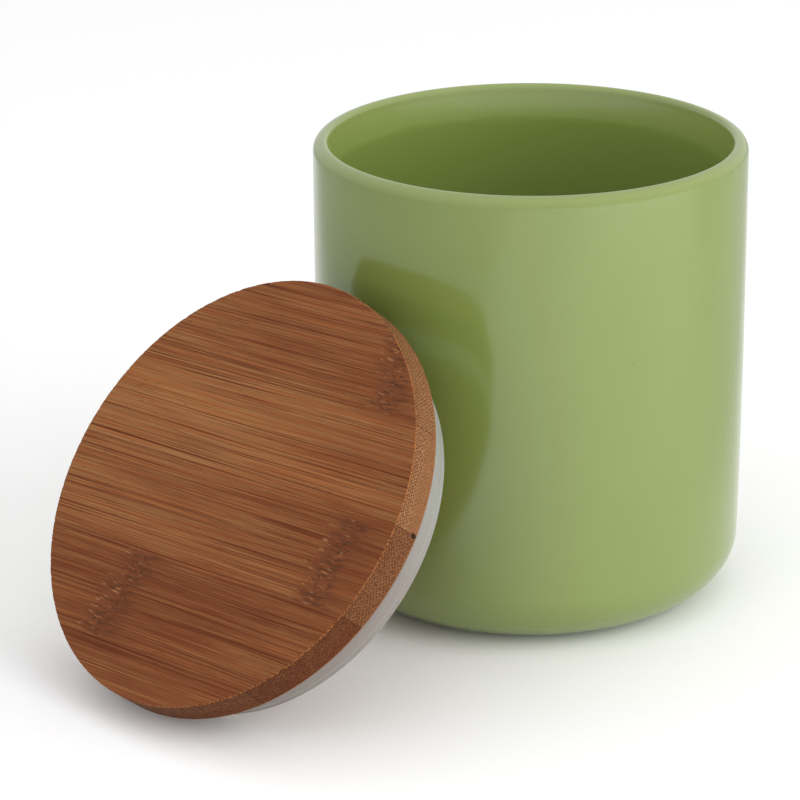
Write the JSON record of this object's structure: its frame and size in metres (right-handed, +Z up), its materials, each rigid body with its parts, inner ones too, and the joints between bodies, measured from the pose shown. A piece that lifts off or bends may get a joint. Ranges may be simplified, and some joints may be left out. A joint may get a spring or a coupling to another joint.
{
  "type": "storage jar",
  "caption": "Round glazed ceramic storage jar with a bamboo plug lid and a silicone sealing ring; the lid is off and leans against the jar.",
  "frame": {"origin": "centre of the jar's foot, on the surface that the jar stands on", "axes": "+Z up along the jar's axis; +X to the right and +Y away from a viewer who has the leaning lid in front and to the left"},
  "size_m": [0.1596, 0.1552, 0.1087],
  "materials": {
    "green_glaze": "glossy green glaze, bare fired clay on the foot ring",
    "brown_bamboo": "heat-darkened bamboo with a thin satin lacquer, fine straight grain and knuckle bands",
    "plug_bamboo": "turned bamboo, matt",
    "grey_silicone": "translucent grey-white silicone, satin"
  },
  "bodies": {
    "jar": {"jar_body": "green_glaze"},
    "lid": {"lid_strip_1": "brown_bamboo", "lid_strip_2": "brown_bamboo", "lid_strip_3": "brown_bamboo", "lid_strip_4": "brown_bamboo", "lid_strip_5": "brown_bamboo", "lid_strip_6": "brown_bamboo", "plug_strip_1": "plug_bamboo", "plug_strip_2": "plug_bamboo", "plug_strip_3": "plug_bamboo", "plug_strip_4": "plug_bamboo", "plug_strip_5": "plug_bamboo", "seal_ring": "grey_silicone"}
  },
  "joints": [
    {"name": "lid_lift", "type": "slide", "parent": "jar", "child": "lid", "axis": [0, 0, 1], "range_m": [0, 0.13]}
  ]
}
